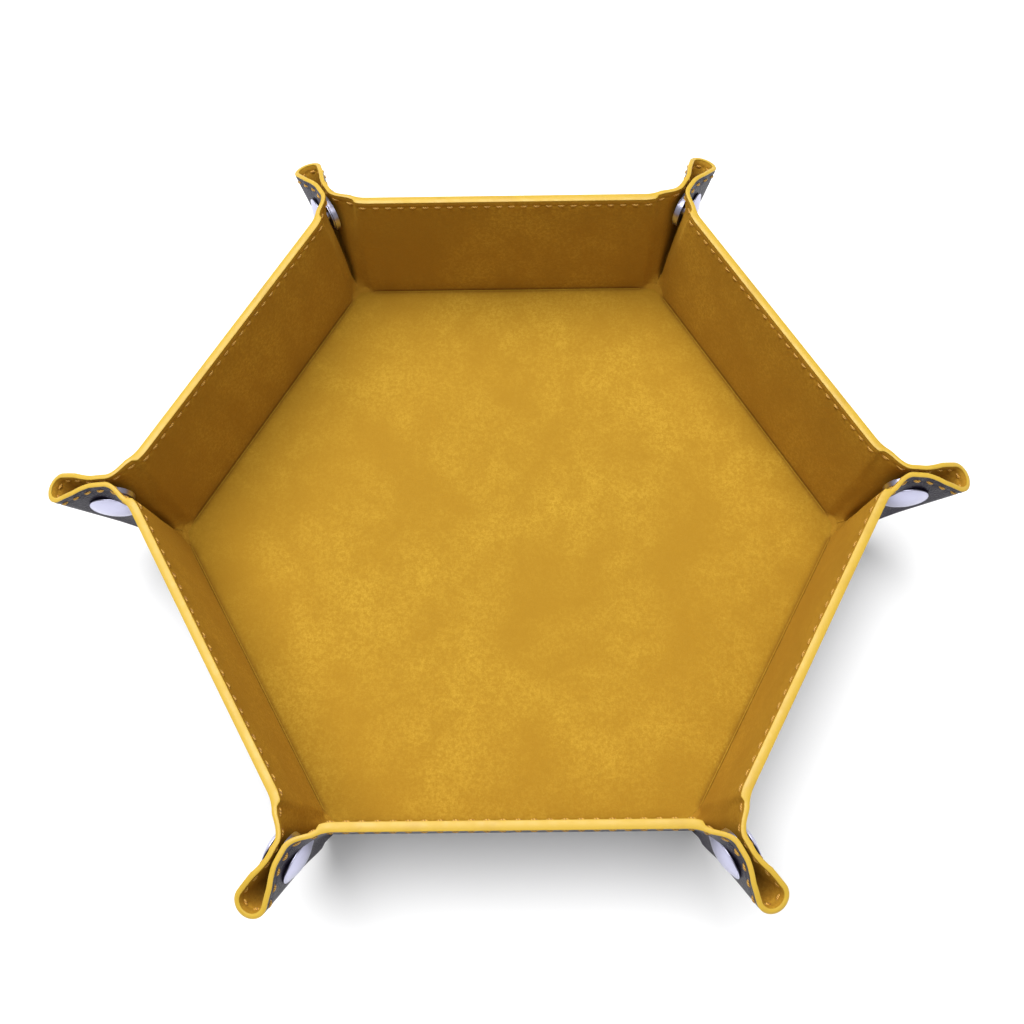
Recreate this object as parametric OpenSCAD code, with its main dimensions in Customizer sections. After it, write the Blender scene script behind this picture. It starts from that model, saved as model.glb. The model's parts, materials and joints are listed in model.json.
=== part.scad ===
// Folding dice tray: a hexagonal sheet of leather, board and velvet whose six walls
// stand up when the ears at the corners are pinched together with press studs.
// Millimetres, +Z up. The origin is the centre of the underside, on the table.
// +X points at a corner and +Y at the middle of a wall.

/* [Floor] */
// Width of the playing floor across its flats, from fold to fold
floor_across = 168; // [140:1:220]

/* [Walls] */
// Height of a wall from its fold to the rim
wall_h = 43.2; // [40:0.2:50]
// Steepness of a raised wall, in degrees
wall_up = 86.5; // [85:0.5:87.5]
// Strip at each end of a wall that has no board in it
soft_end = 5.5; // [4:0.5:12]
// Corner radius of the boards along the rim
board_round = 2; // [1:0.5:4]

/* [Layers] */
// Thickness of the outer leather cover
cover_t = 0.7; // [0.5:0.1:0.9]
// Thickness of the stiffening board
board_t = 1; // [0.8:0.1:1.4]
// Thickness of the velvet liner
liner_t = 0.7; // [0.5:0.1:0.9]

/* [Ears] */
// Radius of the rounded outer edge of an ear
ear_round = 42; // [38:0.5:44]
// Gap between the two faces of a closed ear at its stud
ear_gap = 1.9; // [1.8:0.05:2]
// Where the flat neck of an ear ends, in degrees from the end of the wall
neck_deg = 18; // [17:0.5:19]
// Where the curled tip of an ear begins, in degrees from the end of the wall
tip_deg = 27; // [26.5:0.1:27.2]
// How far the loop flares beyond its neck, in degrees
flare = 12; // [10:0.5:13]

/* [Press studs] */
// Diameter of a stud cap
cap_d = 12; // [11:0.5:12]
// Height of the domed cap
cap_h = 1.9; // [1.5:0.1:2.4]
// Shadow gap between the leather and the edge of a cap
cap_lift = 0.7; // [0.2:0.1:0.8]
// Distance of a stud from the corner of the floor
stud_reach = 32.3; // [31:0.1:34]
// Distance of a stud from the end of the wall
stud_in = 6.5; // [6.5:0.1:7.5]

/* [Pose] */
// How far the walls are let down from their raised position, in degrees
let_down = 0; // [0:1:79]

/* [Hidden] */
$fn = 64;
SIDES = 6;
HALVES = ["left", "right"];

turn = 360 / SIDES;                       // angle from one corner to the next
half_turn = turn / 2;
slit = 0.05;                              // play left between pieces that touch
inner_stack = board_t + liner_t;          // layers on the inner side of a fold
fold_z = cover_t;                         // height of the fold axes
fold_reach = floor_across / 2 + inner_stack;    // centre to a fold axis
corner_reach = fold_reach / cos(half_turn);     // centre to where fold axes meet
board_gap = 2;                            // bare strip on each side of a fold
liner_gap = inner_stack + slit;           // liner kept back from a fold
end_gap = 0.5;                            // wall sheet kept back from its end
ramp = 1.2;                               // liner slope down from a board's edge
corner_cut = 6;                           // corners of the floor board cut off

ear_sheet = cover_t + liner_t;            // an ear has no board in it
ear_root = 0.6;                           // ear kept back from the end of the wall
ear_foot = 5;                             // ear kept back from the floor corner
tip_foot = 10;                            // tip kept back from the floor corner
// Lean of the wall's end seen along the mirror plane of a corner
lean = atan2(cos(wall_up) * cos(half_turn), sin(wall_up));
end_ray = [cos(wall_up) * cos(half_turn), cos(wall_up) * sin(half_turn), sin(wall_up)];
fold_ray = [-sin(half_turn), cos(half_turn), 0];
round_at = wall_h / cos(half_turn) - ear_round / sin(2 * half_turn);
half_gap = ear_gap / 2;
stud_along = sqrt(pow(stud_reach, 2) - pow(stud_in, 2));
let_down_share = let_down / wall_up;

// Stud parts, measured from the mirror plane of a corner
cap_edge = 0.5;                           // height of the cap's rolled edge
cap_roll = 0.5;                           // how far the rolled edge stands outside the dome
cap_seat_r = 3.4;                         // foot that holds the cap off the leather
post_r = 1.7;                             // rivet post through the ear
post_bore_r = 2;                          // hole for it in the ear
socket_r = 5.2;
socket_h = 1.45;
socket_base = 0.4;
socket_bore_r = 2.4;
stud_r = 4.6;
stud_plate = 0.35;
knob_r = 1.8;
knob_waist_r = 1.55;
knob_h = 1;

// ---- placing ----

module at_wall(k) {
    rotate([0, 0, turn * k - half_turn])
        translate([fold_reach, 0, fold_z])
            rotate([0, let_down - wall_up, 0])
                children();
}

// The right half of corner k, seen from outside, hangs on the next wall round
module at_corner(k, half) {
    rotate([0, 0, turn * k])
        translate([corner_reach, 0, fold_z])
            mirror([0, half == "left" ? 1 : 0, 0])
                rotate(a = let_down, v = fold_ray)
                    rotate(a = -turn * let_down_share, v = end_ray)
                        children();
}

// x along the wall's end, y away from the wall, z from the inner to the outer face
module in_ear_plane() {
    translate([0, half_gap, 0]) rotate([-90, lean - 90, 0]) children();
}

module bend_at(deg, angle) {
    rotate([0, 0, deg]) rotate([angle, 0, 0]) rotate([0, 0, -deg]) children();
}

module at_stud() {
    in_ear_plane() translate([stud_along, stud_in, 0]) children();
}

// ---- flat shapes ----

function hexagon(reach) = [for (i = [0:SIDES - 1]) reach / cos(half_turn) * [cos(i * turn), sin(i * turn)]];

// Hexagon with its corners cut square to the radius
function cut_hexagon(reach, cut) = let (side = reach / cos(half_turn) - cut, run = cut / tan(half_turn))
    [for (i = [0:SIDES - 1], s = [-1, 1])
        let (a = i * turn) side * [cos(a), sin(a)] + s * run * [-sin(a), cos(a)]];

module ear_outline(foot) {
    difference() {
        union() {
            square([wall_h, round_at * sin(half_turn)]);
            translate(round_at * [cos(half_turn), sin(half_turn)]) circle(ear_round);
        }
        circle(foot);
    }
}

module wedge(from, to) {
    far = 2 * wall_h;
    polygon([[0, 0], far * [cos(from), sin(from)], far * [cos(to), sin(to)]]);
}

// ---- floor ----

module floor_cover() {
    color("#2b2730") linear_extrude(cover_t) polygon(hexagon(fold_reach - slit));
}

module floor_board() {
    color("#8d8273") translate([0, 0, cover_t])
        linear_extrude(board_t) polygon(cut_hexagon(fold_reach - board_gap, corner_cut));
}

module floor_liner() {
    color("#ca9e30") translate([0, 0, cover_t + board_t])
        linear_extrude(liner_t) polygon(hexagon(fold_reach - liner_gap));
}

// ---- walls: x from the fold to the rim, y along the fold, z towards the inside ----

half_end = corner_reach / 2 - end_gap;
half_board = corner_reach / 2 - soft_end;

module wall_cover(k) {
    color("#2b2730") at_wall(k)
        translate([slit, -half_end, -cover_t]) cube([wall_h - slit, 2 * half_end, cover_t]);
}

module wall_board(k) {
    rise = wall_h - board_round;
    color("#8d8273") at_wall(k) linear_extrude(board_t) union() {
        translate([board_gap, -half_board]) square([rise - board_gap, 2 * half_board]);
        translate([board_gap, board_round - half_board])
            square([wall_h - board_gap, 2 * (half_board - board_round)]);
        for (s = [-1, 1]) translate([rise, s * (half_board - board_round)]) circle(board_round);
    }
}

// The liner lies over the board and steps down to the cover at each end
module wall_liner(k) {
    top = board_t + liner_t;
    low = slit;
    step = half_board + low;
    color("#a87c26") at_wall(k)
        translate([liner_gap, 0, 0]) rotate([90, 0, 90]) linear_extrude(wall_h - liner_gap) polygon([
            [-half_end, low], [-step - ramp, low], [-step, board_t + low], [step, board_t + low],
            [step + ramp, low], [half_end, low], [half_end, liner_t], [step + ramp, liner_t],
            [step, top], [-step, top], [-step - ramp, liner_t], [-half_end, liner_t]
        ]);
}

// ---- ears ----

// Flat neck that holds the press stud, then a cheek that flares out to the loop
module ear(k, half) {
    color("#7a5a20") at_corner(k, half) in_ear_plane() {
        linear_extrude(ear_sheet) difference() {
            intersection() {
                ear_outline(ear_foot);
                wedge(0, neck_deg);
            }
            square([wall_h, ear_root]);
            translate([stud_along, stud_in]) circle(post_bore_r);
        }
        bend_at(neck_deg, flare) linear_extrude(ear_sheet) intersection() {
            ear_outline(tip_foot);
            wedge(neck_deg, tip_deg - 0.1);
        }
    }
}

// The tip curls back to the mirror plane and meets the other half of the ear there
module ear_tip(k, half) {
    uncurl = (turn + half_turn) * let_down_share;
    color("#7a5a20") at_corner(k, half) in_ear_plane()
        bend_at(neck_deg, flare) bend_at(tip_deg, uncurl - turn - half_turn - flare)
            linear_extrude(ear_sheet) intersection() {
                ear_outline(tip_foot);
                wedge(tip_deg + 0.1, half_turn - 0.1);
            }
}

// ---- press studs: z from the ear's inner face out to the cap ----

// Domed cap with a rolled edge; its post runs through the ear
module cap(post_from) {
    dome_r = cap_d / 2 - cap_roll;
    dome_h = cap_h - cap_edge;
    ball_r = (pow(dome_r, 2) + pow(dome_h, 2)) / (2 * dome_h);
    translate([0, 0, ear_sheet + cap_lift]) rotate_extrude() union() {
        translate([0, 0.02 - cap_lift]) square([cap_seat_r, cap_lift + cap_edge / 2]);
        square([cap_d / 2 - cap_edge / 2, cap_edge]);
        translate([cap_d / 2 - cap_edge / 2, cap_edge / 2]) circle(cap_edge / 2);
        intersection() {
            translate([0, cap_h - ball_r]) circle(ball_r);
            translate([0, cap_edge / 2]) square([dome_r, cap_h]);
        }
    }
    translate([0, 0, post_from]) cylinder(r = post_r, h = ear_sheet + cap_edge - post_from);
}

module press_socket(k) {
    color("#bec0da") at_corner(k, "left") at_stud() {
        cap(-socket_base);
        translate([0, 0, -socket_h]) difference() {
            cylinder(r = socket_r, h = socket_h - slit);
            translate([0, 0, -1]) cylinder(r = socket_bore_r, h = socket_h - socket_base + 1);
            cylinder(r = post_r + slit, h = socket_h);
        }
    }
}

module press_stud(k) {
    color("#bec0da") at_corner(k, "right") at_stud() {
        cap(0);
        translate([0, 0, -stud_plate]) rotate_extrude() union() {
            square([stud_r, stud_plate - slit]);
            translate([0, -knob_h]) square([knob_waist_r, knob_h + stud_plate / 2]);
            translate([0, 0.1 - knob_h]) square([knob_r, knob_h * 0.45]);
        }
    }
}

// ---- the whole tray ----

floor_cover();
floor_board();
floor_liner();
for (k = [1:SIDES]) {
    wall_cover(k);
    wall_board(k);
    wall_liner(k);
    press_socket(k);
    press_stud(k);
    for (half = HALVES) {
        ear(k, half);
        ear_tip(k, half);
    }
}
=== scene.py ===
"""Folding dice tray: velvet and leather skins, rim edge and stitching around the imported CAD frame.

The sheet is drawn flat and folded by formula. A flat point has x, its distance from the fold of
the wall; y, its distance from the end of the wall, negative on the wall and positive on the ear;
and n, its height over the face that the cover and the liner share. Lengths here are millimetres
until a mesh is made.
"""

import json
import math

import bpy
import numpy as np
from mathutils import Matrix, Vector


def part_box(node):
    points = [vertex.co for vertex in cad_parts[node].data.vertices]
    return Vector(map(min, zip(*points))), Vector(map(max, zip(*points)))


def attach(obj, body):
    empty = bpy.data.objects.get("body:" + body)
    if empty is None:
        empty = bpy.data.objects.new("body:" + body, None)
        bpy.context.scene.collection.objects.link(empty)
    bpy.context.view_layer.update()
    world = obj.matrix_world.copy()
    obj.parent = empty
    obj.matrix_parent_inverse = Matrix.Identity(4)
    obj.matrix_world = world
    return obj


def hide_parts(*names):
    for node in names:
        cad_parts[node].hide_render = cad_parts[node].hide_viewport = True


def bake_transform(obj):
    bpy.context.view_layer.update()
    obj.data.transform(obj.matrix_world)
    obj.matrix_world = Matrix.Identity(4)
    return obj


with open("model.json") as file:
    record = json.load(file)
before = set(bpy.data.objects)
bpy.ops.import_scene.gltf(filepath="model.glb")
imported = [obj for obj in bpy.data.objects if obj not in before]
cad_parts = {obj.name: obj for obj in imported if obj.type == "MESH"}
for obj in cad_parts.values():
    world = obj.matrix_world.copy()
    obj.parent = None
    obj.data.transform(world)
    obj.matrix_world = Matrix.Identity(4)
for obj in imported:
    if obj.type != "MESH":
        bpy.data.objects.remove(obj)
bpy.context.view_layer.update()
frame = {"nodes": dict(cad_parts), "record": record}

MM = 0.001
SIDES = 6
TURN = 360 / SIDES
HALF = math.radians(TURN / 2)

# ---- sizes read from the frame ----

joints = {j["name"]: j for j in frame["record"]["behaviour"]["joints"]}


def box_mm(node):
    lo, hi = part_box(node)
    return np.array(lo) / MM, np.array(hi) / MM


fold_at = np.array(joints["fold"]["pos_m"]) / MM
FOLD_REACH, FOLD_Z = math.hypot(fold_at[0], fold_at[1]), fold_at[2]
corner_joint = joints["ear_6_right_turn"]
APEX_REACH = corner_joint["pos_m"][0] / MM
END_RAY = -np.array(corner_joint["axis"])
WALL_UP = math.asin(END_RAY[2])
SIDE = 2 * FOLD_REACH * math.tan(HALF)
COVER_T = box_mm("floor_cover")[1][2]
BOARD_T = box_mm("floor_board")[1][2] - COVER_T
LINER_T = box_mm("floor_liner")[1][2] - COVER_T - BOARD_T
FLOOR_TOP = COVER_T + BOARD_T + LINER_T
INNER_REACH = FOLD_REACH - BOARD_T - LINER_T
WALL_H = (box_mm("wall_2_cover")[1][2] - FOLD_Z) / math.sin(WALL_UP)
EAR_GAP = box_mm("ear_6_right")[0][1]
stud_lo, stud_hi = box_mm("press_stud_6")
STUD_ALONG = math.hypot((stud_lo[0] + stud_hi[0]) / 2 - APEX_REACH, (stud_lo[2] + stud_hi[2]) / 2 - FOLD_Z)
BOARD_END = SIDE / 2 - box_mm("wall_2_board")[1][0]

# ---- sizes of the looks ----

EAR_ROUND = 42.0  # radius of an ear's outer edge in the flat sheet
STUD_IN = 6.5  # a stud's distance from the end of its wall
PANEL_END = 9.5  # where a wall panel hands over to the corner pieces
STRIP_H = 3.0  # height of the strip at the foot of a wall that is one piece to its very ends
EAR_MIDDLE = 30.0  # degrees from the end of the wall to the middle of its ear
EAR_SPLIT = 19.0  # degrees from the end of the wall to where an ear's tip piece begins
TIP_CURL = 21.8  # degrees to where the round end of the loop begins
FILLET = 12.0  # degrees over which the wall turns out into the ear
FLARE = (8.0, 15.0)  # degrees over which the loop opens behind the neck
PINCH_FROM = 35.5  # distance from the floor corner at which the neck starts to close above the stud
PINCH_AT, PINCH_WIDE = 5.5, 10.5  # degrees to the middle of the pinch, and its half width
NECK = 0.4  # half of the gap left at the rim there
GROOVE = 0.6  # depth of the crease between floor and wall
GROOVE_R = 2.6  # how far from the fold line the crease reaches
GUSSET_FOOT = 4.0  # the sheet bridges each corner of the floor from here along the creases
GUSSET_TOP = 4.8  # up to this height
GUSSET_BLUR = 0.35
CREASE_FADE = 9.0  # the creases fade out over this length before a corner
SLOT = 0.85  # half width of the slot between the halves of an ear
SLOT_FROM, SLOT_OPEN = 4.5, 9.5  # distances from the floor's corner over which the slot opens
SLOT_END = 29.7  # degrees at which it has closed again
SLOT_BLUR = 0.4
STITCH_IN = 2.1  # stitch line to rim
STITCH_PITCH = 3.7  # from one stitch to the next
STITCH_L = 2.4  # length of one stitch
STITCH_SINK = 0.12  # how far the stitch line lies below the face of a skin
THREAD_R = 0.33
STITCH_BOW, STITCH_DIVE = 0.16, 0.42  # how high a stitch stands in its middle, and how far its ends drop
SEAM_DEPTH, SEAM_WIDTH = 0.16, 0.45  # the dip along the stitch line
RIM_DEPTH, RIM_WIDTH = 0.18, 0.5  # the dip along the rim
WEB_ROWS = 4  # rows of an ear's sheet below the height of the strip, down to the floor's corner
WEB_FROM = 0.6  # distance of the first of them from the floor's corner
LAP = 0.02  # skins lie this far into or over their neighbours, so that no faces coincide
STEP_FOOT, STEP_TOP = 0.95, 2.2  # heights of the liner's step down beside the floor board
STEP_T = 0.25
SKIN_BACK = 0.35  # thickness of the liner in the strip
BEND_AT = 0.7  # share of the wall's height at which the bend between wall and ear is measured
BEND_BACK = 1.4  # how far its middle lies from the end of the wall, towards the wall
BEND_R = 4.4  # half width of the band that bends with the ear
TIP_BEND_AT = 0.85  # share of the wall's height at which the tip's bend is measured
SQUEEZE = 0.09  # how much the painted edge is pressed in on each face
LEAST_GAP = 0.03  # each half of an ear stays this far from the mirror plane
rng = np.random.default_rng(7)


# ---- the cone that each corner of the sheet folds to ----


def rotated(rows, axis, angle):
    """Rotates the rows of a matrix about an axis whose length scales the angle."""
    size = np.linalg.norm(axis)
    k, t = axis / size, angle * size
    return rows * math.cos(t) + np.cross(k, rows) * math.sin(t) + np.outer(rows @ k, k) * (1 - math.cos(t))


def ear_curve(fillet_from, fillet_turn, flare_turn, curl_turn):
    """Frames (ray, along, outward) of the sheet at each angle about the floor corner."""
    step = 0.1
    angles = np.arange(-25.0, EAR_MIDDLE + step / 2, step)
    wall_on = np.array([math.sin(HALF), -math.cos(HALF), 0.0])
    a = math.radians(angles[0])
    ray = math.cos(a) * END_RAY + math.sin(a) * wall_on
    along = -math.sin(a) * END_RAY + math.cos(a) * wall_on
    rows = np.array([ray, along, np.cross(ray, along)])
    out = []
    bends = (
        (fillet_from, fillet_from + FILLET, fillet_turn),
        (*FLARE, flare_turn),
        (TIP_CURL, EAR_MIDDLE, curl_turn),
    )
    for angle in angles:
        out.append(rows)
        bend = sum(t / (hi - lo) * overlap(angle, angle + step, lo, hi) / step for lo, hi, t in bends)
        spin = bend * rows[0] + rows[2]
        rows = rotated(rows, spin, math.radians(step))
    return angles, np.array(out)


def overlap(a, b, lo, hi):
    """Length that two spans share."""
    return max(0.0, min(b, hi) - max(a, lo))


def solve_curve():
    """Turns that lay the ear's neck along the mirror plane at its stud and close the loop.
    The loop ends on that plane and square to it."""
    stud_angle = math.degrees(math.asin(STUD_IN / STUD_ALONG))
    neck = (EAR_GAP + LINER_T) / STUD_ALONG

    def miss(turns):
        angles, rows = ear_curve(*turns)
        at_stud = [np.interp(stud_angle, angles, rows[:, i, 1]) for i in (0, 1)]
        return np.array([at_stud[0] - neck, at_stud[1], rows[-1, 0, 1], rows[-1, 1, 0]])

    turns = np.array([-10.0, 60.0, 15.0, -100.0])
    nudge = 0.5
    for _ in range(15):
        m = miss(turns)
        if np.abs(m).max() < 1e-6:
            break
        slopes = np.array([miss(turns + nudge * row) - m for row in np.eye(4)]).T / nudge
        turns = turns - np.clip(np.linalg.solve(slopes, m), -20, 20)
    return turns


ear_turns = solve_curve()
CURVE_ANGLES, CURVE = ear_curve(*ear_turns)


def cone_frame(degrees):
    """Ray, along and outward vectors for an array of angles.
    Below the curve the sheet runs straight on along the wall."""
    degrees = np.asarray(degrees, float)

    def curve_vector(i):
        return np.stack([np.interp(degrees, CURVE_ANGLES, CURVE[:, i, j]) for j in range(3)], -1)

    out = np.stack([curve_vector(i) for i in range(3)], -2)
    flat = degrees < CURVE_ANGLES[0]
    if flat.any():
        wall_on = np.array([math.sin(HALF), -math.cos(HALF), 0.0])
        a = np.radians(degrees[flat])[:, None]
        out[flat, 0] = np.cos(a) * END_RAY + np.sin(a) * wall_on
        out[flat, 1] = -np.sin(a) * END_RAY + np.cos(a) * wall_on
        out[flat, 2] = np.cross(END_RAY, wall_on)
    return out / np.linalg.norm(out, axis=-1, keepdims=True)


def fold_corner(x, y, n):
    """Flat sheet points to points by a floor corner: u outward, v along the wall side, w up."""
    x, y, n = np.broadcast_arrays(*(np.asarray(c, float) for c in (x, y, n)))
    degrees = np.degrees(np.arctan2(y, x))
    f = cone_frame(degrees)
    reach = np.hypot(x, y)
    p = reach[..., None] * f[..., 0, :] - n[..., None] * f[..., 2, :]
    closing = smooth((reach - PINCH_FROM) / (WALL_H - PINCH_FROM))
    closing *= smooth(1.3 * (1 - np.abs(degrees - PINCH_AT) / PINCH_WIDE))
    inner = reach * f[..., 0, 1] - LINER_T * f[..., 2, 1]
    to_middle = EAR_MIDDLE - degrees
    slot = SLOT * smooth((reach - SLOT_FROM) / (SLOT_OPEN - SLOT_FROM)) * smooth((SLOT_END - degrees) / 6)
    p[..., 1] += soft_over(slot - inner, SLOT_BLUR) * smooth(to_middle / 4)
    p[..., 1] -= closing * np.maximum(inner - NECK, 0.0)
    p[..., 1] = np.maximum(p[..., 1], LEAST_GAP * smooth(to_middle / 2))
    return p


def place_corner(p, k, half):
    """From the frame of a corner's right half to the tray, mirrored for the left half."""
    p = np.array(p)
    if half == "left":
        p[..., 1] *= -1
    a = math.radians(TURN * k)
    c, s = math.cos(a), math.sin(a)
    u, v = p[..., 0] + APEX_REACH, p[..., 1]
    return np.stack([c * u - s * v, s * u + c * v, p[..., 2] + FOLD_Z], -1)


def place_wall(x, a, n, k):
    """Height x on wall k, distance a along it, height n over the cover's inner face."""
    x, a, n = np.broadcast_arrays(*(np.asarray(c, float) for c in (x, a, n)))
    out = FOLD_REACH + x * math.cos(WALL_UP) - n * math.sin(WALL_UP)
    up = FOLD_Z + x * math.sin(WALL_UP) + n * math.cos(WALL_UP)
    return spin_wall(out, a, up, k)


def spin_wall(out, a, up, k):
    t = math.radians(TURN * k) - HALF
    out, a, up = np.broadcast_arrays(out, a, up)
    return np.stack([out * math.cos(t) - a * math.sin(t), out * math.sin(t) + a * math.cos(t), up], -1)


def smooth(t):
    t = np.clip(t, 0.0, 1.0)
    return t * t * (3 - 2 * t)


def soft_over(t, blur):
    """t where it is positive and 0 where it is negative, rounded off over the blur."""
    return np.where(t > blur, t, np.where(t < -blur, 0.0, (t + blur) ** 2 / (4 * blur)))


def nearest_wall(p):
    """Direction of the wall nearest to each point, place along it, and distance from its fold."""
    angle = np.arctan2(p[..., 1], p[..., 0])
    wall = np.round((angle - HALF) / (2 * HALF)) * 2 * HALF + HALF
    out = p[..., 0] * np.cos(wall) + p[..., 1] * np.sin(wall)
    side = -p[..., 0] * np.sin(wall) + p[..., 1] * np.cos(wall)
    return wall, side, np.hypot(out - INNER_REACH, p[..., 2] - FLOOR_TOP)


def level(angle):
    """Level unit vectors at an array of angles."""
    return np.stack([np.cos(angle), np.sin(angle), np.zeros(len(angle))], -1)


def press_creases(p):
    """Sinks the inner skin into the fold lines and bridges the corners of the floor."""
    shape = np.shape(p)
    p = np.reshape(p, (-1, 3))
    wall, side, from_fold = nearest_wall(p)
    outward = level(wall)
    up = np.array([0.0, 0.0, 1.0])
    to_corner = level(np.round(np.arctan2(p[:, 1], p[:, 0]) / (2 * HALF)) * 2 * HALF)
    past = (p * to_corner).sum(1) - INNER_REACH / math.cos(HALF)
    fade = smooth((INNER_REACH * math.tan(HALF) - np.abs(side)) / CREASE_FADE)
    sink = GROOVE * (1 - smooth(from_fold / GROOVE_R)) * fade
    p = p + (outward - up) * (sink / math.sqrt(2))[:, None]
    top_past = APEX_REACH - INNER_REACH / math.cos(HALF) + GUSSET_TOP * END_RAY[0]
    foot_past = -GUSSET_FOOT * math.sin(HALF)
    slope = math.atan2(GUSSET_TOP, top_past - foot_past)
    under = (past - foot_past) * math.sin(slope) - (p[:, 2] - FLOOR_TOP) * math.cos(slope)
    lift = soft_over(under, GUSSET_BLUR) * (1 - smooth((past - top_past) / 3.0))
    p = p + (math.cos(slope) * up - math.sin(slope) * to_corner) * lift[:, None]
    return p.reshape(shape)


def crease_shade(p):
    """Share of painted shade: 1 on the fold lines and 0 away from them and near the corners."""
    _, side, from_fold = nearest_wall(p)
    fade = smooth((INNER_REACH * math.tan(HALF) - np.abs(side) - 2.0) / 4.0)
    return (1 - smooth(from_fold / 1.5)) * fade


# ---- mesh making ----


def make_object(name, verts, faces, materials, face_slots=None, shade=None):
    """A smooth-shaded object from points in millimetres; shade is stored as the attribute "crease"."""
    mesh = bpy.data.meshes.new(name)
    mesh.from_pydata((np.asarray(verts) * MM).tolist(), [], faces)
    for m in materials:
        mesh.materials.append(m)
    if face_slots is not None:
        mesh.polygons.foreach_set("material_index", face_slots)
    mesh.polygons.foreach_set("use_smooth", [True] * len(mesh.polygons))
    if shade is not None:
        layer = mesh.attributes.new("crease", "FLOAT", "POINT")
        layer.data.foreach_set("value", np.asarray(shade, np.float32))
    mesh.validate()
    mesh.update()
    obj = bpy.data.objects.new(name, mesh)
    bpy.context.scene.collection.objects.link(obj)
    return obj


def crisp(obj, degrees=40):
    """Marks edges sharper than this so that smooth shading stops at them."""
    mesh = obj.data
    mesh.set_sharp_from_angle(angle=math.radians(degrees))
    return obj


def slab(name, front, back, keep, materials, flip=False, shade=None):
    """Closed sheet between two grids of points; keep says which cells exist.
    The last material goes on the back, the first on the front and on the edges."""
    rows, cols = front.shape[:2]
    size = rows * cols
    verts = np.concatenate([front.reshape(-1, 3), back.reshape(-1, 3)])
    faces, which = [], []

    def add(loop, slot):
        faces.append(loop[::-1] if flip else loop)
        which.append(slot)

    for i in range(rows - 1):
        for j in range(cols - 1):
            if not keep[i, j]:
                continue
            a, b = i * cols + j, i * cols + j + 1
            c, d = b + cols, a + cols
            add([a, b, c, d], 0)
            add([a + size, d + size, c + size, b + size], len(materials) - 1)
            neighbours = [(i - 1, j), (i, j + 1), (i + 1, j), (i, j - 1)]
            for side, (p, q) in zip(neighbours, [(a, b), (b, c), (c, d), (d, a)], strict=True):
                inside = 0 <= side[0] < rows - 1 and 0 <= side[1] < cols - 1
                if not (inside and keep[side]):
                    add([q, p, p + size, q + size], 0)
    used = sorted({v for f in faces for v in f})
    index = {v: i for i, v in enumerate(used)}
    faces = [[index[v] for v in f] for f in faces]
    full = None
    if shade is not None:
        full = np.concatenate([shade.reshape(-1), shade.reshape(-1)])[used]
    return crisp(make_object(name, verts[used], faces, materials, which, full))


def tube_faces(count, around, first=0, flip=False):
    """Faces of a capped tube through count rings of points, the first point numbered first."""
    faces = []
    for i in range(count - 1):
        for j in range(around):
            a, b = first + i * around + j, first + i * around + (j + 1) % around
            faces.append([a, b, b + around, a + around])
    faces.append([first + j for j in range(around)][::-1])
    faces.append([first + (count - 1) * around + j for j in range(around)])
    return [f[::-1] for f in faces] if flip else faces


def sweep(name, rings, materials, flip=False):
    """Closed tube through a list of rings of points, capped at both ends."""
    rings = np.asarray(rings)
    faces = tube_faces(*rings.shape[:2], flip=flip)
    return crisp(make_object(name, rings.reshape(-1, 3), faces, materials), 50)


# ---- flat outline of the sheet ----

ROUND_AT = WALL_H / math.cos(HALF) - EAR_ROUND / math.sin(2 * HALF)
ROUND_X, ROUND_Y = ROUND_AT * math.cos(HALF), ROUND_AT * math.sin(HALF)


def rim_reach(degrees):
    """Distance from the floor corner to the rim of the ear, along a ray in the flat sheet."""
    a = np.radians(degrees)
    along = ROUND_X * np.cos(a) + ROUND_Y * np.sin(a)
    arc = along + np.sqrt(along**2 - ROUND_AT**2 + EAR_ROUND**2)
    straight = WALL_H / np.cos(a)
    return np.where(straight * np.sin(a) < ROUND_Y, straight, arc)


RIM_ROWS = [0.05, 0.3, 0.8, 1.4, 1.75, STITCH_IN, 2.45, 2.8, 3.4]  # below the rim


def rows_up(foot, top):
    """Distances from foot to top, fine near the rim."""
    low = np.linspace(foot, top - RIM_ROWS[-1], 15)[:-1]
    return np.concatenate([low, top - np.array(RIM_ROWS[::-1])])


def liner_height(y, step=1.3):
    """Height of the liner's face over the cover: it steps down where the board ends."""
    over_board = 1 - smooth((y + BOARD_END + 0.4) / step)
    return LINER_T + BOARD_T * over_board


def liner_face(y, below_rim):
    """Height of the liner's face with its seam; the step by the board gets softer further down."""
    return liner_height(y, 1.2 + 2.6 * smooth(below_rim / 20)) - seam_press(below_rim)


def seam_press(below_rim):
    """How deep a skin is pulled in along the stitch line and the rim."""
    seam = SEAM_DEPTH * np.exp(-(((below_rim - STITCH_IN) / SEAM_WIDTH) ** 2))
    return seam + RIM_DEPTH * np.exp(-((below_rim / RIM_WIDTH) ** 2))


def corner_grid(columns):
    """Flat x, y and depth below the rim for a list of columns: ("y", distance) or ("ray", degrees).
    The first WEB_ROWS rows are the web that runs on down to the floor's corner, in the ear only."""
    web = np.linspace(WEB_FROM, STRIP_H, WEB_ROWS + 1)[:-1]
    xs, ys, below = [], [], []
    for kind, value in columns:
        if kind == "y":
            x = np.concatenate([web, rows_up(STRIP_H, WALL_H)])
            xs.append(x)
            ys.append(np.full_like(x, value))
            below.append(WALL_H - x)
        else:
            top = float(rim_reach(value))
            r = np.concatenate([web, rows_up(STRIP_H, top)])
            a = math.radians(value)
            xs.append(r * math.cos(a))
            ys.append(r * math.sin(a))
            below.append(top - r)
    return np.array(xs).T, np.array(ys).T, np.array(below).T


# ---- materials ----


def new_material(name):
    m = bpy.data.materials.new(name)
    m.use_nodes = True
    tree = m.node_tree
    return m, tree, tree.nodes["Principled BSDF"]


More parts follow.
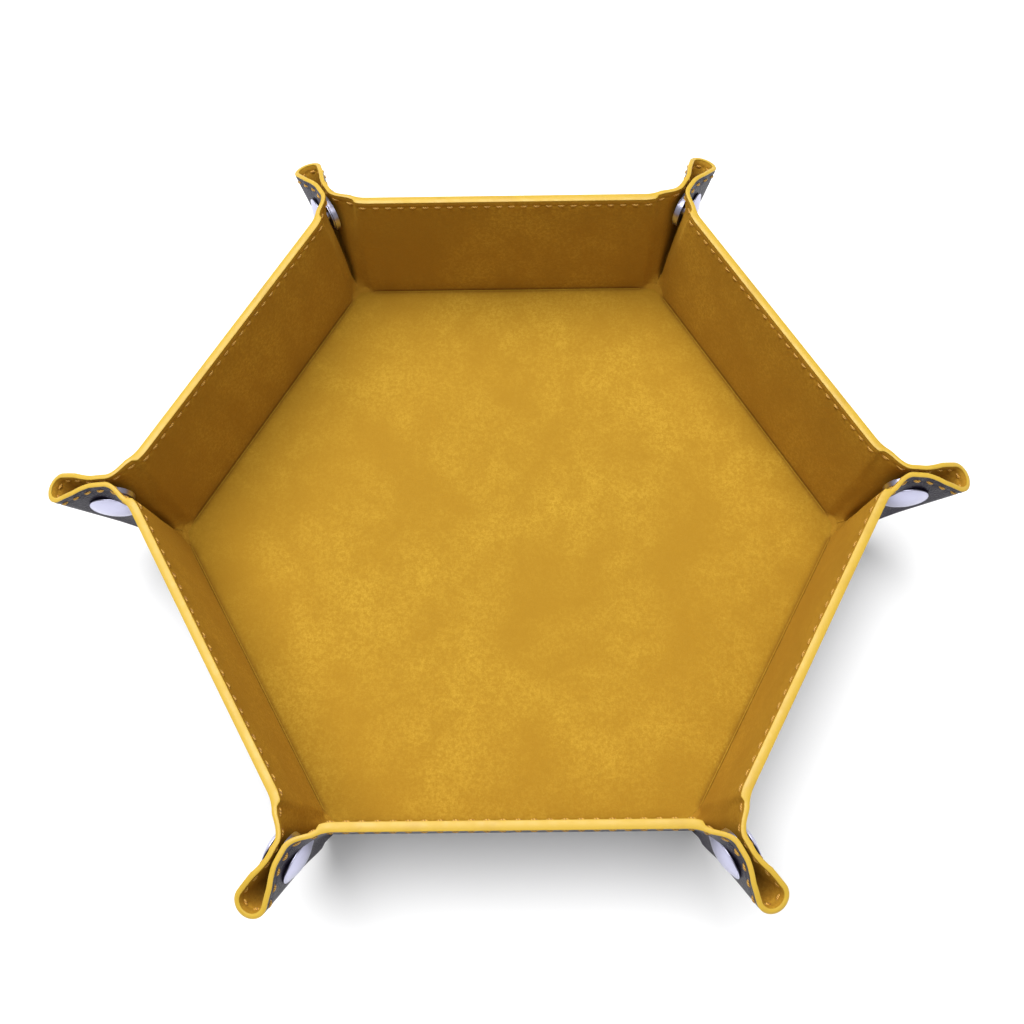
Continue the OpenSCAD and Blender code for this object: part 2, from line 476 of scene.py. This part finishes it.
def add_node(tree, kind, inputs=(), **props):
    node = tree.nodes.new(kind)
    for key, value in props.items():
        setattr(node, key, value)
    for key, value in dict(inputs).items():
        if isinstance(value, bpy.types.NodeSocket):
            tree.links.new(value, node.inputs[key])
        else:
            node.inputs[key].default_value = value
    return node


def noise(tree, scale, detail=3.0, roughness=0.55, stretch=None, distortion=0.0):
    where = add_node(tree, "ShaderNodeTexCoord").outputs["Object"]
    if stretch is not None:
        where = add_node(tree, "ShaderNodeMapping", {"Vector": where, "Scale": stretch}).outputs["Vector"]
    inputs = {"Vector": where, "Scale": scale, "Detail": detail}
    inputs.update({"Roughness": roughness, "Distortion": distortion})
    return add_node(tree, "ShaderNodeTexNoise", inputs).outputs["Fac"]


def ramp(tree, value, low, high, a=0.0, b=1.0):
    """Maps low..high smoothly to a..b."""
    inputs = {"Value": value, "From Min": low, "From Max": high, "To Min": a, "To Max": b}
    node = add_node(tree, "ShaderNodeMapRange", inputs, interpolation_type="SMOOTHSTEP")
    return node.outputs["Result"]


def mix_colour(tree, fac, a, b, blend_type="MIX"):
    node = tree.nodes.new("ShaderNodeMix")
    node.data_type = "RGBA"
    node.blend_type = blend_type
    for socket, value in ((node.inputs[0], fac), (node.inputs[6], a), (node.inputs[7], b)):
        if isinstance(value, bpy.types.NodeSocket):
            tree.links.new(value, socket)
        else:
            socket.default_value = value
    return node.outputs[2]


def bump(tree, height, strength, distance, normal=None):
    inputs = {"Height": height, "Strength": strength, "Distance": distance}
    if normal is not None:
        inputs["Normal"] = normal
    return add_node(tree, "ShaderNodeBump", inputs).outputs["Normal"]


def maths(tree, operation, a, b):
    node = add_node(tree, "ShaderNodeMath", operation=operation)
    for socket, value in ((node.inputs[0], a), (node.inputs[1], b)):
        if isinstance(value, bpy.types.NodeSocket):
            tree.links.new(value, socket)
        else:
            socket.default_value = value
    return node.outputs[0]


def linear(byte):
    return ((byte / 255 + 0.055) / 1.055) ** 2.4 if byte > 10 else byte / 255 / 12.92


def rgb(r, g, b):
    """sRGB bytes to a linear colour."""
    return (linear(r), linear(g), linear(b), 1.0)


def darker(colour, share):
    return tuple(c * share for c in colour[:3]) + (1.0,)


def velvet(name, light, deep, crease, streaks):
    """Short-napped velvet: brushed patches, a fine nap, a soft sheen, and painted shade towards the crease
    colour wherever the crease attribute is set.
    """
    m, tree, bsdf = new_material(name)
    patches = ramp(tree, noise(tree, 30, 5, 0.62, stretch=streaks, distortion=0.3), 0.34, 0.68)
    marks = ramp(tree, noise(tree, 110, 6, 0.62, stretch=streaks), 0.38, 0.7)
    tufts = noise(tree, 1000, 3, 0.65)
    nap = noise(tree, 2600, 2, 0.7)
    colour = mix_colour(tree, maths(tree, "MULTIPLY", patches, 0.85), light, deep)
    colour = mix_colour(tree, maths(tree, "MULTIPLY", marks, 0.6), colour, deep)
    colour = mix_colour(tree, ramp(tree, tufts, 0.34, 0.66, 0.0, 0.75), colour, deep)
    colour = mix_colour(tree, ramp(tree, nap, 0.38, 0.62, 0.0, 0.45), colour, deep)
    # painted shade: the velvet darkens towards the crease colour where the crease attribute is set, in the
    # creases and inside the ears
    painted_shade_share = add_node(tree, "ShaderNodeAttribute", attribute_name="crease").outputs["Fac"]
    colour = mix_colour(tree, maths(tree, "MULTIPLY", painted_shade_share, 0.55), colour, crease)
    tree.links.new(colour, bsdf.inputs["Base Color"])
    tree.links.new(ramp(tree, nap, 0.3, 0.7, 0.82, 0.98), bsdf.inputs["Roughness"])
    bsdf.inputs["Specular IOR Level"].default_value = 0.12
    bsdf.inputs["Sheen Weight"].default_value = 0.35
    bsdf.inputs["Sheen Roughness"].default_value = 0.45
    bsdf.inputs["Sheen Tint"].default_value = light
    soft = bump(tree, patches, 0.25, 0.0004)
    tree.links.new(bump(tree, nap, 0.5, 0.0002, soft), bsdf.inputs["Normal"])
    return m


def leather(name, base, light):
    """Pebbled leather with a satin finish and paler, rubbed grain tops."""
    m, tree, bsdf = new_material(name)
    where = add_node(tree, "ShaderNodeTexCoord").outputs["Object"]
    wobble = noise(tree, 900, 2)
    inputs = {"Vector": where, "Scale": 1150.0}
    cells = add_node(tree, "ShaderNodeTexVoronoi", inputs, feature="DISTANCE_TO_EDGE").outputs["Distance"]
    grain = maths(tree, "ADD", ramp(tree, cells, 0.0, 0.35), maths(tree, "MULTIPLY", wobble, 0.5))
    rubs = ramp(tree, noise(tree, 28, 6, 0.7), 0.35, 0.8)
    colour = mix_colour(tree, maths(tree, "MULTIPLY", rubs, 0.3), base, light)
    colour = mix_colour(tree, ramp(tree, grain, 0.2, 0.9, 0.35, 0.0), colour, darker(base, 0.4))
    tree.links.new(colour, bsdf.inputs["Base Color"])
    tree.links.new(ramp(tree, rubs, 0.0, 1.0, 0.42, 0.56), bsdf.inputs["Roughness"])
    bsdf.inputs["Specular IOR Level"].default_value = 0.3
    tree.links.new(bump(tree, grain, 0.5, 0.00016), bsdf.inputs["Normal"])
    return m


def edge_paint(name, base, dull):
    """Smooth painted edge with faint brush ripples and rubbed spots."""
    m, tree, bsdf = new_material(name)
    ripples = noise(tree, 420, 3, 0.5)
    rubs = ramp(tree, noise(tree, 95, 4, 0.6), 0.5, 0.72)
    colour = mix_colour(tree, maths(tree, "MULTIPLY", rubs, 0.45), base, dull)
    tree.links.new(colour, bsdf.inputs["Base Color"])
    tree.links.new(ramp(tree, ripples, 0.3, 0.7, 0.38, 0.55), bsdf.inputs["Roughness"])
    tree.links.new(bump(tree, ripples, 0.3, 0.00012), bsdf.inputs["Normal"])
    return m


def thread(name, base, deep):
    """Twisted sewing thread."""
    m, tree, bsdf = new_material(name)
    where = add_node(tree, "ShaderNodeTexCoord").outputs["Object"]
    inputs = {"Vector": where, "Scale": 900.0, "Distortion": 1.5, "Detail": 1.0}
    twist = add_node(tree, "ShaderNodeTexWave", inputs, bands_direction="DIAGONAL").outputs["Fac"]
    tree.links.new(mix_colour(tree, twist, deep, base), bsdf.inputs["Base Color"])
    tree.links.new(ramp(tree, twist, 0.0, 1.0, 0.7, 0.5), bsdf.inputs["Roughness"])
    tree.links.new(bump(tree, twist, 0.5, 0.0001), bsdf.inputs["Normal"])
    return m


def plated_metal(name, base):
    """Nickel-plated steel with fine scratches."""
    m, tree, bsdf = new_material(name)
    scratches = noise(tree, 900, 4, 0.6, stretch=(1.0, 1.0, 7.0))
    spots = noise(tree, 260, 3)
    colour = mix_colour(tree, ramp(tree, spots, 0.4, 0.8, 0.0, 0.18), base, darker(base, 0.7))
    tree.links.new(colour, bsdf.inputs["Base Color"])
    bsdf.inputs["Metallic"].default_value = 1.0
    tree.links.new(ramp(tree, scratches, 0.35, 0.75, 0.3, 0.42), bsdf.inputs["Roughness"])
    tree.links.new(bump(tree, scratches, 0.03, 0.00002), bsdf.inputs["Normal"])
    return m


def greyboard(name, base, fleck):
    """Pressed grey board with fibres."""
    m, tree, bsdf = new_material(name)
    fibres = noise(tree, 1500, 4, 0.7, stretch=(1.0, 0.35, 1.0))
    tree.links.new(mix_colour(tree, ramp(tree, fibres, 0.4, 0.75), base, fleck), bsdf.inputs["Base Color"])
    tree.links.new(ramp(tree, fibres, 0.3, 0.7, 0.8, 0.95), bsdf.inputs["Roughness"])
    tree.links.new(bump(tree, fibres, 0.4, 0.0001), bsdf.inputs["Normal"])
    return m


# painted shade: the dark brown that the velvet is darkened towards in its creases and inside the ears
PAINTED_SHADE_BROWN = rgb(88, 38, 9)  # the velvet's creases
floor_velvet = velvet("floor_velvet", rgb(184, 147, 47), rgb(158, 118, 31), PAINTED_SHADE_BROWN, (1.0, 1.0, 1.0))
# painted light: the walls' velvet is the floor's velvet made lighter and warmer, to lift the walls' shading
wall_velvet_painted_lighter = velvet("wall_velvet_painted_lighter", rgb(195, 152, 50), rgb(161, 117, 33), PAINTED_SHADE_BROWN, (1.0, 1.0, 0.7))
black_leather = leather("black_leather", rgb(30, 24, 40), rgb(70, 58, 92))
rim_paint = edge_paint("rim_paint", rgb(192, 157, 47), rgb(176, 138, 40))
gold_thread = thread("gold_thread", rgb(214, 166, 66), rgb(140, 94, 28))
nickel = plated_metal("nickel", rgb(188, 188, 211))
board_grey = greyboard("board_grey", rgb(142, 131, 116), rgb(104, 94, 82))


# ---- floor ----

# Positions along half a wall, from the middle to the corner, as shares of its length
END_SHARES = [0.0, 0.12, 0.25, 0.38, 0.5, 0.6, 0.68, 0.74, 0.79, 0.83, 0.865, 0.895]
END_SHARES += [0.92, 0.94, 0.96, 0.98, 1.0]
SIDE_SHARES = np.array([-s for s in END_SHARES[:0:-1]] + END_SHARES)
# Distances of the rings of points from the edge of each layer, close together near the creases
LINER_RINGS = [0.0, 0.3, 0.6, 1.0, 1.5, 2.0, 2.6, 3.4, 4.6, 6.5, 9.0]
LINER_RINGS += [13.0, 19.0, 27.0, 37.0, 48.0, 60.0, 72.0, 82.0]
COVER_RINGS = [0.0, 0.5, 2.0, 8.0, 25.0, 50.0, 70.0]


def hexagon_ring(reach, z):
    """Points round a hexagon whose flats are reach from the centre."""
    along = SIDE_SHARES[:-1] * (reach * math.tan(HALF))
    return np.concatenate([spin_wall(reach, along, z, k) for k in range(1, SIDES + 1)])


def ring_plate(name, rings, top_z, low_z, materials, press=None):
    """Closed hexagonal plate through concentric rings of points, outermost first."""
    top = np.array([hexagon_ring(r, top_z) for r in rings])
    low = np.array([hexagon_ring(r, low_z) for r in rings])
    shade = np.zeros(top.shape[:2])
    if press is not None:
        shade = crease_shade(top)
        top = press(top)
    count, around = top.shape[:2]
    verts = np.concatenate([top.reshape(-1, 3), low.reshape(-1, 3), [[0, 0, top_z], [0, 0, low_z]]])
    size = count * around
    faces = []
    for i in range(count - 1):
        for j in range(around):
            a, b = i * around + j, i * around + (j + 1) % around
            faces.append([a, b, b + around, a + around])
            faces.append([a + size, a + around + size, b + around + size, b + size])
    last = (count - 1) * around
    for j in range(around):
        a, b = last + j, last + (j + 1) % around
        faces.append([a, b, 2 * size])
        faces.append([b + size, a + size, 2 * size + 1])
        after = (j + 1) % around
        faces.append([after, j, j + size, after + size])
    shades = np.concatenate([shade.reshape(-1), shade.reshape(-1), [0, 0]])
    return crisp(make_object(name, verts, faces, materials, shade=shades))


def ring_band(name, section, materials):
    """Closed hexagonal band, its cross-section given as (reach, height) points."""
    rings = np.array([hexagon_ring(reach, z) for reach, z in section])
    count, around = rings.shape[:2]
    faces = []
    for i in range(count):
        for j in range(around):
            a, b = i * around, (i + 1) % count * around
            faces.append([a + j, a + (j + 1) % around, b + (j + 1) % around, b + j])
    return crisp(make_object(name, rings.reshape(-1, 3), faces, materials))


def press_floor(p):
    """A slight unevenness of the velvet over the board, and its creases."""
    x, y = p[..., 0], p[..., 1]
    wave = np.sin(x / 17.0 + 0.7) * np.sin(y / 23.0 - 0.4) + 0.6 * np.sin((x - y) / 11.0)
    p = np.array(p)
    p[..., 2] += 0.06 * wave
    return press_creases(p)


def build_floor():
    rings = [INNER_REACH - r for r in LINER_RINGS]
    low_z = COVER_T + BOARD_T + LAP
    liner = ring_plate("floor_velvet_liner", rings, FLOOR_TOP, low_z, [floor_velvet], press_floor)
    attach(liner, "floor")
    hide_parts("floor_liner")
    # the velvet goes down over the edge of the board and on under the walls
    foot, inner, edge = COVER_T + LAP, INNER_REACH + LAP, FOLD_REACH - 0.4
    upright = inner + STEP_T
    section = [(inner, foot), (edge, foot), (edge, STEP_FOOT)]
    section += [(upright, STEP_FOOT), (upright, STEP_TOP), (inner, STEP_TOP)]
    step = ring_band("floor_velvet_step", section, [floor_velvet])
    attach(step, "floor")
    rings = [FOLD_REACH - COVER_T - r for r in COVER_RINGS]
    cover = ring_plate("floor_leather_cover", rings, COVER_T - LAP, 0.0, [black_leather])
    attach(cover, "floor")
    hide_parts("floor_cover")


# ---- walls ----

PANEL_HALF = SIDE / 2 - PANEL_END


def wall_columns():
    """Distances along a wall: the panel, and at both ends the strip that runs on to the corner."""
    inner = np.linspace(-PANEL_HALF, PANEL_HALF, 29)
    shares = np.array([0.12, 0.24, 0.36, 0.48, 0.6, 0.72, 0.84, 0.92, 1.0])
    ends = PANEL_HALF + (SIDE / 2 - PANEL_HALF) * shares
    return np.concatenate([-ends[::-1], inner, ends])


def mitred(a, out):
    """Stretches the ends of a strip so that they meet the next wall's at the corner."""
    share = np.clip((np.abs(a) - PANEL_HALF) / (SIDE / 2 - PANEL_HALF), 0, 1)
    return a + np.sign(a) * share * (out * math.tan(HALF) - SIDE / 2 - LAP)


def wall_skin_keep(x, a):
    """Cells of a wall grid that exist: the whole panel, and the foot strip out to the corners."""
    mid_x = (x[1:, 1:] + x[:-1, :-1]) / 2
    mid_a = (a[1:, 1:] + a[:-1, :-1]) / 2
    return (np.abs(mid_a) < PANEL_HALF) | (mid_x < STRIP_H)


def build_wall_liner(k):
    """The velvet: a strip at the foot that leads from the floor's edge out to the wall, then the panel."""
    foot = np.array([0.0, 0.25, 0.5, 0.8, 1.2, 1.6, 2.0, 2.5])
    height = np.concatenate([foot, rows_up(STRIP_H, WALL_H)])
    x, a = np.meshgrid(height, wall_columns(), indexing="ij")
    face = liner_face(np.abs(a) - SIDE / 2, WALL_H - x)
    # in the strip the skin leads from the floor's edge out to the wall's face
    strip_top = FOLD_Z + STRIP_H * math.sin(WALL_UP)
    share = smooth(x / STRIP_H)
    top_out = FOLD_REACH + x * math.cos(WALL_UP) - face * math.sin(WALL_UP)
    top_up = FOLD_Z + x * math.sin(WALL_UP) + face * math.cos(WALL_UP)
    low_up = FLOOR_TOP + x * (strip_top + face * math.cos(WALL_UP) - FLOOR_TOP) / STRIP_H
    in_strip = x < STRIP_H
    out = np.where(in_strip, INNER_REACH + share * (top_out - INNER_REACH), top_out)
    up = np.where(in_strip, low_up, top_up)
    along = np.where(in_strip, mitred(a, out), a)
    rest = spin_wall(out, along, up, k)
    shade = crease_shade(rest)
    front = press_creases(rest)
    back_out = np.where(in_strip, out + SKIN_BACK, out + LINER_T - 0.05)
    back = spin_wall(back_out, np.where(in_strip, mitred(a, back_out), a), up, k)
    lowest = (x < 0.6)[..., None]
    back = np.where(lowest, front + (back - rest), back)
    keep = wall_skin_keep(x, a)
    liner = slab(f"wall_{k}_velvet", front, back, keep, [wall_velvet_painted_lighter], flip=True, shade=shade)
    bend_at_foot(liner, k, FLOOR_TOP - 0.3, strip_top)
    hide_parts(f"wall_{k}_liner")


def bend_at_foot(obj, k, low, high):
    """Bakes the placement of a piece between the floor and a wall into its mesh; the ends of the band of
    heights are worked out but not used.
    """
    ends = [spin_wall(FOLD_REACH, 0.0, up, k) * MM for up in (low, high)]
    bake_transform(obj)


def build_wall_cover(k):
    """The leather: a row under the floor, a round bend at the fold line, then the wall."""
    round_rows = np.radians([-90, -72, -54, -36, -18, 0])
    foot = [0.0] * (1 + len(round_rows)) + [0.6, 1.4, 2.2]
    height = np.concatenate([foot, rows_up(STRIP_H, WALL_H)])
    x, a = np.meshgrid(height, wall_columns(), indexing="ij")
    face = -COVER_T + seam_press(WALL_H - x)
    out = FOLD_REACH + x * math.cos(WALL_UP) - face * math.sin(WALL_UP)
    up = FOLD_Z + x * math.sin(WALL_UP) + face * math.cos(WALL_UP)
    back_out = FOLD_REACH + x * math.cos(WALL_UP)
    back_up = FOLD_Z + x * math.sin(WALL_UP)
    for i, t in enumerate(round_rows):
        out[i + 1] = FOLD_REACH + COVER_T * math.cos(t)
        up[i + 1] = FOLD_Z + COVER_T * math.sin(t)
        back_out[i + 1] = FOLD_REACH
        back_up[i + 1] = FOLD_Z - 0.01 * (len(round_rows) - i)
    out[0] = back_out[0] = FOLD_REACH - COVER_T
    up[0], back_up[0] = 0.0, FOLD_Z - 0.08
    strip = x < STRIP_H
    front = spin_wall(out, np.where(strip, mitred(a, out), a), up, k)
    back = spin_wall(back_out, np.where(strip, mitred(a, back_out), a), back_up, k)
    cover = slab(f"wall_{k}_leather", front, back, wall_skin_keep(x, a), [black_leather])
    bend_at_foot(cover, k, 0.1, FOLD_Z + 1.6)
    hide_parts(f"wall_{k}_cover")


# ---- rim edge and stitches, in flat coordinates ----


def rim_ring(rim_y):
    """Cross-section of the painted edge: (distance past the cut edge, height) pairs."""
    low, high = SQUEEZE - COVER_T, float(liner_height(rim_y)) - SQUEEZE
    middle = (low + high) / 2
    outside = [(-0.2, low - 0.02), (0.0, low - 0.03), (0.12, low + 0.15)]
    inside = [(0.12, high - 0.15), (0.0, high + 0.03), (-0.2, high + 0.02)]
    return [*outside, (0.16, middle), *inside, (-0.2, middle)]


def stitch_sides(y):
    """The two faces that carry a stitch at y: the way each one faces, and its height."""
    return (1, float(liner_height(y)) - STITCH_SINK), (-1, -COVER_T + STITCH_SINK)


def stitch_points(at, direction, n, side):
    """A stitch as flat points (x, y, n): a bowed strand that dives into the skin at both ends."""
    along, across = np.array(direction), np.array([-direction[1], direction[0]])
    rings = []
    for t in np.linspace(-1, 1, 9):
        radius = THREAD_R * math.sqrt(max(0.0, 1 - abs(t) ** 3)) + 0.02
        rise = side * (STITCH_BOW - STITCH_DIVE * t * t)
        ring = []
        for a in np.linspace(0, 2 * math.pi, 6, endpoint=False):
            flat = np.array(at) + along * t * STITCH_L / 2 + across * radius * math.cos(a)
            ring.append((flat[0], flat[1], n + rise + radius * math.sin(a)))
        rings.append(ring)
    return rings


def stitching(name, tubes, flip=False):
    """One object from many stitches, each a list of rings of points."""
    verts, faces = [], []
    for rings in tubes:
        rings = np.asarray(rings)
        faces.extend(tube_faces(*rings.shape[:2], first=len(verts), flip=flip))
        verts.extend(rings.reshape(-1, 3))
    return make_object(name, np.array(verts), faces, [gold_thread])


def stitch_centres(start, end):
    """Middles of the stitches that share a length evenly."""
    count = max(1, round((end - start) / STITCH_PITCH))
    return [start + (i + 0.5) * (end - start) / count for i in range(count)]


def build_wall_edge(k):
    """The painted rim of a wall and its thread, inside and outside."""
    a = np.linspace(-PANEL_HALF, PANEL_HALF, 25)
    section = rim_ring(-PANEL_END)
    rings = [[place_wall(WALL_H + e, s, n, k) for e, n in section] for s in a]
    rim = sweep(f"wall_{k}_rim_edge", rings, [rim_paint], flip=True)
    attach(rim, f"wall_{k}")
    tubes = []
    for s in stitch_centres(-PANEL_HALF, PANEL_HALF):
        for side, n in stitch_sides(-PANEL_END):
            skew = rng.uniform(-0.03, 0.03)
            flat = stitch_points((WALL_H - STITCH_IN, s), (skew, 1.0), n, side)
            tubes.append([[place_wall(x, y, h, k) for x, y, h in ring] for ring in flat])
    stitches = stitching(f"wall_{k}_stitching", tubes)
    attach(stitches, f"wall_{k}")


# ---- ears ----


def wall_of(k, half):
    """Number of the wall that an ear half hangs on."""
    return k if half == "left" else k % SIDES + 1


def fold_ring(points, k, half):
    """A ring of flat (x, y, n) points, folded and placed."""
    return place_corner(np.array([fold_corner(*p) for p in points]).reshape(-1, 3), k, half)


def build_ear_sheet(name, k, half, columns):
    """One piece of an ear, velvet inside and leather outside, and the painted rim that goes with it."""
    x, y, below = corner_grid(columns)
    right = half == "right"
    rest = place_corner(fold_corner(x, y, liner_face(y, below)), k, half)
    front = press_creases(rest)
    front[:WEB_ROWS] = rest[:WEB_ROWS]
    back = place_corner(fold_corner(x, y, -COVER_T + seam_press(below)), k, half)
    in_web = np.arange(x.shape[0] - 1)[:, None] < WEB_ROWS
    keep = ~in_web | (y[:-1, :-1] > 0)
    # painted shade: the velvet darkens inside the ear's loop, more so further below the rim
    shade = 0.6 * smooth((y + 1) / 5) * smooth(below / 7)
    sheet = slab(name, front, back, keep, [wall_velvet_painted_lighter, black_leather], flip=not right, shade=shade)
    rings = []
    for column in columns:
        rim_x, rim_y, (out_x, out_y) = rim_at(column)
        flat = [(rim_x + e * out_x, rim_y + e * out_y, n) for e, n in rim_ring(rim_y)]
        rings.append(fold_ring(flat, k, half))
    return [sheet, sweep(f"{name}_rim_edge", rings, [rim_paint], flip=right)]


def rim_at(column):
    """Flat rim point of a column, and the direction straight out of the rim there."""
    kind, value = column
    if kind == "y":
        return WALL_H, value, (1.0, 0.0)
    r = float(rim_reach(value))
    x, y = r * math.cos(math.radians(value)), r * math.sin(math.radians(value))
    if y <= ROUND_Y:
        return x, y, (1.0, 0.0)
    nx, ny = x - ROUND_X, y - ROUND_Y
    size = math.hypot(nx, ny)
    return x, y, (nx / size, ny / size)


def stitch_path():
    """Flat points of the stitch line from the panel's end to the ear's middle, and distances along it."""
    points = [(WALL_H - STITCH_IN, y) for y in np.linspace(-PANEL_END, ROUND_Y, 60)]
    radius = EAR_ROUND - STITCH_IN
    for t in np.radians(np.linspace(0, 60, 400))[1:]:
        p = (ROUND_X + radius * math.cos(t), ROUND_Y + radius * math.sin(t))
        if math.degrees(math.atan2(p[1], p[0])) > EAR_MIDDLE:
            break
        points.append(p)
    points = np.array(points)
    steps = np.linalg.norm(np.diff(points, axis=0), axis=1)
    return points, np.concatenate([[0], np.cumsum(steps)])


PATH, PATH_S = stitch_path()


def on_path(distance):
    return np.array([np.interp(distance, PATH_S, PATH[:, i]) for i in (0, 1)])


def ear_stitches(name, k, half, lo_deg, hi_deg):
    """The stitches of an ear half between two rays, on both of its faces."""
    tubes = []
    for s in stitch_centres(0.0, PATH_S[-1]):
        at = on_path(s)
        if not lo_deg <= math.degrees(math.atan2(at[1], at[0])) < hi_deg:
            continue
        ahead = on_path(min(s + 0.5, PATH_S[-1])) - on_path(max(s - 0.5, 0))
        direction = ahead / np.linalg.norm(ahead)
        for side, n in stitch_sides(at[1]):
            flat = stitch_points(at, direction, n, side)
            tubes.append([fold_ring(ring, k, half) for ring in flat])
    return stitching(name, tubes, flip=half == "left")


def joined(*spans):
    """Evenly spaced values over each (first, last, count) span, in one list."""
    return [float(v) for span in spans for v in np.linspace(*span)]


# Columns of an ear's grids: along the wall up to its end, then rays from the floor's corner
WALL_SPOTS = joined((-PANEL_END, -BOARD_END - 1, 6), (-BOARD_END - 0.6, 0, 15))
EAR_SPOTS = joined((0.6, 15, 25)) + joined((15, EAR_SPLIT, 6))[1:]
TIP_SPOTS = joined((EAR_SPLIT, TIP_CURL, 5))[:-1] + joined((TIP_CURL, EAR_MIDDLE, 16))
ROOT_COLUMNS = [("y", y) for y in WALL_SPOTS] + [("ray", a) for a in EAR_SPOTS]
TIP_COLUMNS = [("ray", a) for a in TIP_SPOTS]
PANEL_DEGREES = math.degrees(math.atan2(-PANEL_END, WALL_H)) - 1  # before every stitch of an ear


def build_ear(k, half):
    """An ear half: its root, which turns away from the wall, and its tip, each with its rim edge and
    stitches, baked in place.
    """
    wall, ear, tip = f"wall_{wall_of(k, half)}", f"ear_{k}_{half}", f"ear_tip_{k}_{half}"
    root_pieces = build_ear_sheet(f"{ear}_sheet", k, half, ROOT_COLUMNS)
    root_pieces.append(ear_stitches(f"{ear}_stitching", k, half, PANEL_DEGREES, EAR_SPLIT))
    tip_pieces = build_ear_sheet(f"{tip}_sheet", k, half, TIP_COLUMNS)
    tip_pieces.append(ear_stitches(f"{tip}_stitching", k, half, EAR_SPLIT, EAR_MIDDLE + 1))
    wall_end = cone_frame(np.array([0.0]))[0]
    chord = sum(cone_frame(np.array([ear_turns[0] + e * FILLET]))[0][1] for e in (0, 1))
    chord /= np.linalg.norm(chord)
    centre = wall_end[0] * WALL_H * BEND_AT - BEND_BACK * chord
    for piece in root_pieces:
        ends = [place_corner(centre + s * BEND_R * chord, k, half) * MM for s in (-1, 1)]
        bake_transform(piece)
    # a line across the rays, reaching down towards the floor's corner, is worked out for each tip piece
    # before its placement is baked
    rays = cone_frame(np.array([TIP_CURL, EAR_MIDDLE]))[:, 0] * WALL_H * TIP_BEND_AT
    lean = rays.mean(0)
    across = rays[1] - rays[0]
    across -= lean * (across @ lean) / (lean @ lean)
    for piece in tip_pieces:
        ends = [place_corner(rays[1] + s * across, k, half) * MM for s in (-1, 0)]
        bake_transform(piece)
    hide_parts(ear)
    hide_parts(tip)


# ---- the CAD nodes that stay ----


def dress_cad_nodes():
    """Materials for the studs and the boards, which keep the shapes of the frame."""
    for name, obj in frame["nodes"].items():
        if name.startswith("press_"):
            finish = nickel
        elif name.endswith("_board"):
            finish = board_grey
        else:
            continue
        for s in obj.material_slots:
            s.material = finish


# ---- stage, in metres ----

TABLE_HALF, TABLE_Z = 8.0, -0.0005
WHITE_FROM, WHITE_AT = 0.3, 1.5  # the table fades to plain white between these distances
SURROUND = 0.34  # strength of the white surroundings
LIGHTS = {"key": ((-0.3, 0.4, 1.35), 1.2, 25.5), "top": ((0.1, -0.1, 1.5), 1.6, 12.0)}  # place, size, power
CAMERA_AT = (0.0025, -0.1066, 0.2894)
AIM_X, AIM_Y = 0.0008, 0.0057
ROLL = -1.49
LENS, SENSOR = 36.03, 36.0


def build_table():
    """A pale table that turns plain white further out."""
    mesh = bpy.data.meshes.new("table")
    corners = [(-1, -1), (1, -1), (1, 1), (-1, 1)]
    corners = [(x * TABLE_HALF, y * TABLE_HALF, TABLE_Z) for x, y in corners]
    mesh.from_pydata(corners, [], [(0, 1, 2, 3)])
    table = bpy.data.objects.new("table", mesh)
    bpy.context.scene.collection.objects.link(table)
    m, tree, bsdf = new_material("table_white")
    bsdf.inputs["Base Color"].default_value = (0.9, 0.9, 0.9, 1)
    bsdf.inputs["Roughness"].default_value = 0.8
    where = add_node(tree, "ShaderNodeTexCoord").outputs["Object"]
    away = add_node(tree, "ShaderNodeVectorMath", {0: where}, operation="LENGTH").outputs["Value"]
    bsdf.inputs["Emission Color"].default_value = (1, 1, 1, 1)
    tree.links.new(ramp(tree, away, WHITE_FROM, WHITE_AT), bsdf.inputs["Emission Strength"])
    mesh.materials.append(m)


def build_lights():
    """White surroundings, dimmer as a light than they look, and two soft lamps."""
    world = bpy.data.worlds.new("studio")
    bpy.context.scene.world = world
    world.use_nodes = True
    tree = world.node_tree
    seen = add_node(tree, "ShaderNodeLightPath").outputs["Is Camera Ray"]
    back = tree.nodes["Background"]
    back.inputs["Color"].default_value = (1, 1, 1, 1)
    inputs = {"Value": seen, "To Min": SURROUND, "To Max": 1.0}
    strength = add_node(tree, "ShaderNodeMapRange", inputs).outputs["Result"]
    tree.links.new(strength, back.inputs["Strength"])
    for name, (place, size, power) in LIGHTS.items():
        data = bpy.data.lights.new(name, "AREA")
        data.size = size
        data.energy = power
        lamp = bpy.data.objects.new(name, data)
        lamp.location = place
        lamp.rotation_euler = (-Vector(place)).to_track_quat("-Z", "Y").to_euler()
        bpy.context.scene.collection.objects.link(lamp)


def build_camera():
    """The viewing angle: from the front, high over the tray, with a slight roll."""
    data = bpy.data.cameras.new("camera")
    data.sensor_width = SENSOR
    data.lens = LENS
    cam = bpy.data.objects.new("camera", data)
    bpy.context.scene.collection.objects.link(cam)
    place = Vector(CAMERA_AT)
    target = Vector((AIM_X, AIM_Y, FLOOR_TOP * MM))
    roll = math.radians(ROLL)
    look = (target - place).to_track_quat("-Z", "Y").to_matrix().to_4x4()
    cam.matrix_world = Matrix.Translation(place) @ look @ Matrix.Rotation(roll, 4, "Z")
    bpy.context.scene.camera = cam


build_floor()
for wall_number in range(1, SIDES + 1):
    build_wall_liner(wall_number)
    build_wall_cover(wall_number)
    build_wall_edge(wall_number)
for corner_number in range(1, SIDES + 1):
    for ear_half in ("left", "right"):
        build_ear(corner_number, ear_half)
dress_cad_nodes()
build_table()
build_lights()
build_camera()
bpy.context.scene.view_settings.view_transform = "Standard"
